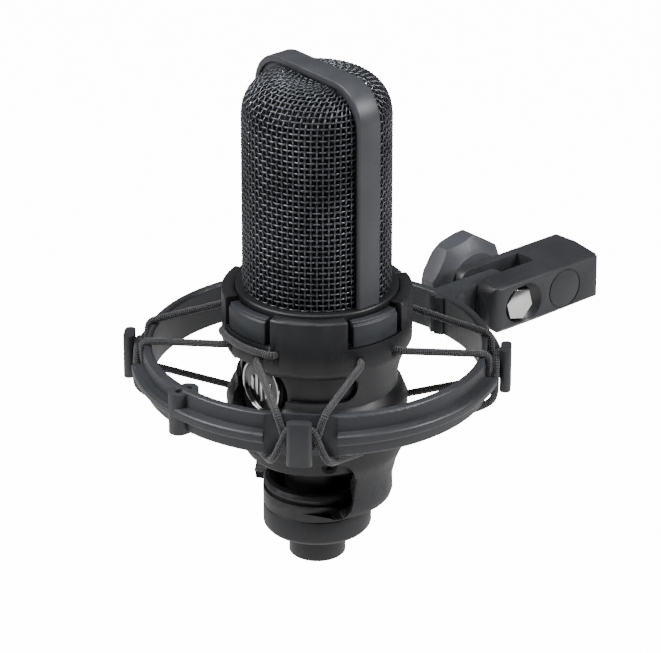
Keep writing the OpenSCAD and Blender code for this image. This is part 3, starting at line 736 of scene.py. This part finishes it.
    def build(self, materials: Materials) -> None:
        """Make the eight quarters and the front length.

        Args:
            materials: The finishes.
        """
        lane_in, lane_out = self.slot_r + 1.1, self.slot_r + 3.3
        wall_top, wall_low = self.ring_mid + self.ring_half, self.ring_mid - self.ring_half
        over = ((self.wall_in - 0.4, 8.4, wall_top + 1.3), (lane_in, 7.4, wall_top + 0.5),
                (lane_in, 3.9, self.ring_mid - 4.3))
        under = ((self.wall_out, 9.4, wall_low - 1.5), (lane_out, 7.9, wall_low + 0.6),
                 (lane_out, 3.7, self.ring_mid + 4.1))
        routes = (("upper", 27.7, 13.4, self.collar_r, 80.5, over, "upper_elastic"),
                  ("lower", 26.05, 12.3, self.hoop_r, 49.0, under, "lower_elastic"))
        for name, inner, half, outer, z, bends, node in routes:
            for number, post in enumerate((45, 135, 225, 315)):
                piece = self.sweep(f"{name}_cord_{number + 1}", self.turn(post, inner, half, outer, z, bends))
                piece.data.materials.append(materials.get("cord"))
                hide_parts(node)
                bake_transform(piece)
        lay = self.collar_r + self.cord_d / 2 + 0.25
        half = self.bridge_half
        ends = [self.polar(27.7, -90 + s * half, self.bridge_z) for s in (-1, 1)]
        across = [self.polar(lay, -90 + a, self.bridge_z) for a in range(-half, half + 1, 10)]
        bridge = self.sweep("front_cord_length", [ends[0], *across, ends[1]])
        place_piece(bridge, Body.CRADLE, materials.get("cord"), ("front_cord_bridge",))


# ---------------------------------------------------------------- parts that keep their CAD shape

SOFTENED = (
    SoftenedPart("grille_frame", Body.MICROPHONE, "rib", 0.55, segments=3),
    SoftenedPart("top_ring", Body.MICROPHONE, "body", 0.2),
    SoftenedPart("body_shell", Body.MICROPHONE, "body", 0.2),
    SoftenedPart("base_neck", Body.MICROPHONE, "body", 0.25),
    SoftenedPart("output_shell", Body.MICROPHONE, "body", 0.2),
    SoftenedPart("badge_ring", Body.MICROPHONE, "bright", 0.15),
    SoftenedPart("badge_disc", Body.MICROPHONE, "badge", 0.1),
    SoftenedPart("badge_bars", Body.MICROPHONE, "bright", 0.08),
    SoftenedPart("base_screws", Body.MICROPHONE, "black_steel", 0.12),
    SoftenedPart("cradle", Body.CRADLE, "moulding", 0.3),
    SoftenedPart("collar_grips", Body.CRADLE, "grip", 0.3),
    SoftenedPart("locking_ring", Body.LOCK, "moulding", 0.3),
    SoftenedPart("suspension_ring", Body.RING, "ring", 0.35),
    SoftenedPart("swivel_clamp", Body.CLAMP, "clamp", 0.5),
    SoftenedPart("clamp_bolt", Body.CLAMP, "bright", 0.35),
    SoftenedPart("clamp_knob", Body.KNOB, "knob", 0.7, segments=3),
    SoftenedPart("knob_washer", Body.KNOB_SLIDE, "steel", 0.15),
)


def dress_cad_nodes(materials: Materials) -> None:
    """Give every CAD node that still shows its slot's finish.

    Args:
        materials: The finishes.
    """
    slots = {part["node"]: part["material_slot"] for part in frame["record"]["subparts"]}
    for name, node in frame["nodes"].items():
        if node.hide_render:
            continue
        finish = materials.get(slots[name])
        if not node.material_slots:
            node.data.materials.append(finish)
        for holder in node.material_slots:
            holder.material = finish


# ---------------------------------------------------------------- stage


@dataclass(frozen=True)
class StudioCamera:
    """A long lens well back, to the front's right and above. Places in metres."""

    place: tuple[float, float, float] = (0.98156, -0.81515, 0.68034)
    turn_deg: float = 50.1
    rise_deg: float = 25.2
    lens_mm: float = 241.8

    def build(self) -> None:
        """Make the camera and hand it to the scene."""
        turn, rise = math.radians(self.turn_deg), math.radians(self.rise_deg)
        back = Vector((math.sin(turn) * math.cos(rise), -math.cos(turn) * math.cos(rise), math.sin(rise)))
        right = Vector((math.cos(turn), math.sin(turn), 0))
        up = back.cross(right)
        data = bpy.data.cameras.new("camera")
        data.lens = self.lens_mm
        data.sensor_width = 36.0
        data.clip_end = 50.0
        camera = bpy.data.objects.new("camera", data)
        camera.matrix_world = Matrix.Translation(self.place) @ Matrix((right, up, back)).transposed().to_4x4()
        bpy.context.scene.collection.objects.link(camera)
        bpy.context.scene.camera = camera


@dataclass(frozen=True)
class SoftBox:
    """One square area light that faces the microphone."""

    name: str
    turn_deg: float
    rise_deg: float
    distance: float
    size: float
    watts: float

    def build(self, aim: Vector) -> None:
        """Hang the light.

        Args:
            aim: The point that it faces.
        """
        turn, rise = math.radians(self.turn_deg), math.radians(self.rise_deg)
        out = Vector((math.sin(turn) * math.cos(rise), -math.cos(turn) * math.cos(rise), math.sin(rise)))
        data = bpy.data.lights.new(self.name, "AREA")
        data.size = self.size
        data.energy = self.watts
        light = bpy.data.objects.new(self.name, data)
        light.location = aim + out * self.distance
        light.rotation_euler = out.to_track_quat("Z", "Y").to_euler()
        bpy.context.scene.collection.objects.link(light)


@dataclass(frozen=True)
class Studio:
    """A white floor under soft light."""

    floor_z: float = -0.16
    floor_size: float = 30.0
    floor_glow: float = 14.0
    world_strength: float = 0.14
    boxes: tuple[SoftBox, ...] = (
        SoftBox("key", -25, 42, 1.3, 0.7, 20.0),
        SoftBox("side", 125, 30, 1.3, 0.5, 16.0),
        SoftBox("top", 50, 85, 1.3, 0.6, 9.0),
    )

    def build(self) -> None:
        """Make the floor, the lights and the white surroundings."""
        bpy.ops.mesh.primitive_plane_add(size=self.floor_size, location=(0, 0, self.floor_z))
        floor = bpy.context.object
        floor.name = "floor"
        material, tree = blank_material("matt white paper")
        shader = add_node(tree, "BsdfPrincipled", {"Base Color": linear("#d8d8d8"), "Roughness": 0.95})
        glow = add_node(tree, "Emission", {"Color": (1, 1, 1, 1), "Strength": self.floor_glow})
        lit = add_node(tree, "AddShader", {0: shader.outputs["BSDF"], 1: glow.outputs["Emission"]})
        seen = add_node(tree, "LightPath").outputs["Is Camera Ray"]
        both = add_node(tree, "MixShader", {0: seen, 1: shader.outputs["BSDF"], 2: lit.outputs["Shader"]})
        add_node(tree, "OutputMaterial", {"Surface": both.outputs["Shader"]})
        floor.data.materials.append(material)
        aim = Vector((0, 0, 0.09))
        for box in self.boxes:
            box.build(aim)
        world = bpy.data.worlds.new("white studio")
        world.use_nodes = True
        background = world.node_tree.nodes["Background"]
        background.inputs["Color"].default_value = (1, 1, 1, 1)
        background.inputs["Strength"].default_value = self.world_strength
        bpy.context.scene.world = world


def main() -> None:
    """Build the studio and the microphone's looks in order."""
    logging.basicConfig(level=logging.INFO, format="%(name)s: %(message)s")
    deselect()
    StudioCamera().build()
    materials = Materials()
    ElasticCords().build(materials)
    WovenGrille().build(materials)
    for part in SOFTENED:
        part.build(materials)
    dress_cad_nodes(materials)
    Studio().build()


if __name__ == "__main__":
    main()
